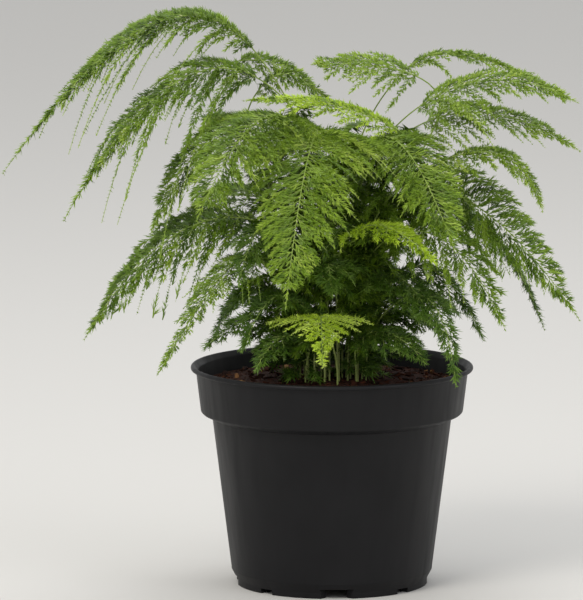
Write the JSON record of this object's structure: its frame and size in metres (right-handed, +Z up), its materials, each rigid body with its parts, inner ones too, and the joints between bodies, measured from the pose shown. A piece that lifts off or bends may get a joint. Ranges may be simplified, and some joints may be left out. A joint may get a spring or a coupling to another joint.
{
  "type": "potted lace fern",
  "caption": "Lace fern with arching canes and flat, drooping sprays of fine needles, in a round black plastic nursery pot filled with potting mix.",
  "frame": {"origin": "centre of the pot's underside, on the surface that the pot stands on", "axes": "+Z up along the pot's axis; -Y towards the side that is seen first, with the short bright frond in front; +X to the right seen from there"},
  "size_m": [0.3466, 0.2679, 0.3476],
  "materials": {
    "pot_plastic": "near-black injection-moulded polypropylene, satin, faint mould marks and dust",
    "potting_mix": "damp reddish brown peat and bark crumbs with a few pale chips",
    "foliage_mature": "matte mid-green needles on thin green canes",
    "foliage_shade": "matte dark green needles",
    "foliage_young": "fresh yellow-green needles"
  },
  "bodies": {
    "root": {"pot": "pot_plastic", "potting_mix": "potting_mix", "frond_01": "foliage_mature", "frond_02": "foliage_mature", "frond_03": "foliage_mature", "frond_04": "foliage_mature", "frond_05": "foliage_mature", "frond_06": "foliage_mature", "frond_07": "foliage_mature", "frond_08": "foliage_mature", "frond_09": "foliage_mature", "frond_10": "foliage_young", "frond_11": "foliage_mature", "frond_12": "foliage_mature", "frond_13": "foliage_mature", "frond_14": "foliage_mature", "frond_15": "foliage_mature", "frond_16": "foliage_mature", "frond_17": "foliage_shade", "frond_18": "foliage_shade", "frond_19": "foliage_shade", "frond_20": "foliage_mature", "frond_21": "foliage_mature", "frond_22": "foliage_shade", "frond_23": "foliage_young", "frond_24": "foliage_shade", "frond_25": "foliage_shade", "frond_26": "foliage_shade", "frond_27": "foliage_shade", "frond_28": "foliage_shade", "frond_29": "foliage_shade", "frond_30": "foliage_young", "frond_31": "foliage_shade", "frond_32": "foliage_shade", "frond_33": "foliage_shade", "frond_34": "foliage_mature", "frond_35": "foliage_mature", "frond_36": "foliage_mature", "frond_37": "foliage_shade", "frond_38": "foliage_shade", "frond_39": "foliage_shade"}
  },
  "joints": []
}
